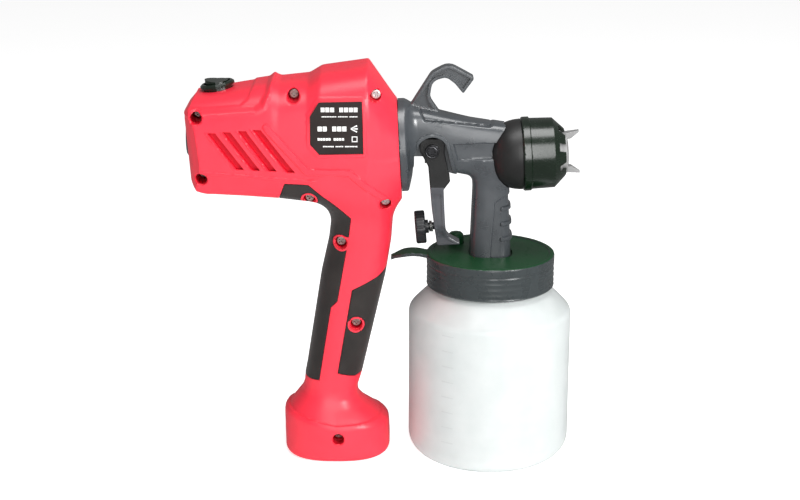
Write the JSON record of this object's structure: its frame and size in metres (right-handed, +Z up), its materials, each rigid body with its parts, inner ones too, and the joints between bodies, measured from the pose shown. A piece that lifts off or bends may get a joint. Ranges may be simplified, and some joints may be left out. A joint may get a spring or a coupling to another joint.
{
  "type": "paint sprayer",
  "caption": "Hand-held electric paint sprayer: blower with pistol handle, spray gun with trigger, hanging hook and screw-on paint bottle.",
  "frame": {"origin": "centre of the bottle's flat base, on the surface that the sprayer stands on", "axes": "+X towards the nozzle, +Y to the left seen from behind the handle, +Z up"},
  "size_m": [0.2411, 0.102, 0.2525],
  "materials": {
    "red_casing": "satin",
    "soft_grip": "matte",
    "black_casing": "satin",
    "gloss_black": "glossy",
    "grey_lid": "satin",
    "milky_bottle": "milky, translucent",
    "rubber": "matte",
    "steel": "satin",
    "brass": "turned",
    "wound_copper": "copper windings over steel laminations",
    "filter_foam": "open foam",
    "label": "printed film",
    "natural_plastic": "plain",
    "carbon": "pressed carbon"
  },
  "bodies": {
    "bottle": {"bottle": "milky_bottle"},
    "gun": {"gun_body": "black_casing", "fluid_core": "natural_plastic", "cup_lid": "grey_lid", "lid_nut": "black_casing", "lid_gasket": "rubber", "lid_vent": "rubber", "siphon_tube": "natural_plastic", "paint_strainer": "natural_plastic", "packing_nut": "brass", "fluid_nozzle": "brass", "air_distributor": "natural_plastic", "nozzle_dome": "black_casing", "pivot_screw": "steel", "needle_spring": "steel"},
    "trigger": {"trigger": "black_casing", "knob_spring": "steel"},
    "flow_knob": {"flow_knob": "black_casing"},
    "needle": {"needle": "steel"},
    "air_cap": {"air_cap": "gloss_black"},
    "cap_ring": {"cap_ring": "gloss_black"},
    "power_unit": {"casing_left": "red_casing", "casing_right": "red_casing", "front_grip_left": "soft_grip", "front_grip_right": "soft_grip", "rear_grip_left": "soft_grip", "rear_grip_right": "soft_grip", "rating_label": "label", "switch_body": "black_casing", "intake_grille": "black_casing", "air_filter": "filter_foam", "motor_stator": "steel", "motor_rear_bracket": "black_casing", "motor_front_bracket": "steel", "front_bearing": "steel", "rear_bearing": "steel", "brush_left": "carbon", "brush_right": "carbon", "rear_mount": "rubber", "front_mount": "rubber", "blower_scroll": "black_casing", "outlet_socket": "black_casing", "cord_gland": "rubber", "inner_lead": "rubber", "lead_clamp": "natural_plastic", "case_screw_1": "steel", "case_screw_2": "steel", "case_screw_3": "steel", "case_screw_4": "steel", "case_screw_5": "steel", "case_screw_6": "steel", "case_screw_7": "steel", "case_screw_8": "steel", "case_screw_9": "steel"},
    "rotor": {"armature": "wound_copper", "impeller": "natural_plastic", "impeller_nut": "brass"},
    "switch_rocker": {"switch_rocker": "gloss_black"}
  },
  "joints": [
    {"name": "bottle_release", "type": "slide", "parent": "bottle", "child": "gun", "axis": [0, 0, 1], "range_m": [0, 0.13]},
    {"name": "gun_bayonet", "type": "hinge", "parent": "gun", "child": "power_unit", "pos_m": [-0.057, 0, 0.2], "axis": [-0.9986, 0, -0.0523], "range_deg": [0, 40]},
    {"name": "trigger_pull", "type": "hinge", "parent": "gun", "child": "trigger", "pos_m": [-0.037, 0, 0.1993], "axis": [0, 1, 0], "range_deg": [0, 12], "stiffness_Nm_per_rad": 1.2, "springref_deg": -8.59},
    {"name": "needle_slide", "type": "slide", "parent": "gun", "child": "needle", "axis": [-0.9986, 0, -0.0523], "range_m": [0, 0.0018]},
    {"name": "flow_knob_turn", "type": "hinge", "parent": "trigger", "child": "flow_knob", "pos_m": [-0.0439, 0, 0.1481], "axis": [-0.9962, 0, -0.0872], "range_deg": [-180, 360]},
    {"name": "air_cap_turn", "type": "hinge", "parent": "gun", "child": "air_cap", "pos_m": [0.02, 0, 0.195], "axis": [0.9986, 0, 0.0523], "range_deg": [-90, 90]},
    {"name": "cap_ring_turn", "type": "hinge", "parent": "gun", "child": "cap_ring", "pos_m": [0.02, 0, 0.195], "axis": [0.9986, 0, 0.0523], "range_deg": [0, 360]},
    {"name": "rotor_spin", "type": "hinge", "parent": "power_unit", "child": "rotor", "pos_m": [-0.12, 0, 0.206], "axis": [1, 0, 0], "continuous": true},
    {"name": "switch_tilt", "type": "hinge", "parent": "power_unit", "child": "switch_rocker", "pos_m": [-0.16732, 0, 0.23662], "axis": [0, -1, 0], "range_deg": [0, 10]}
  ],
  "couplings": [
    {"joint": "needle_slide", "follows": "trigger_pull", "m_per_rad": 0.0073}
  ]
}
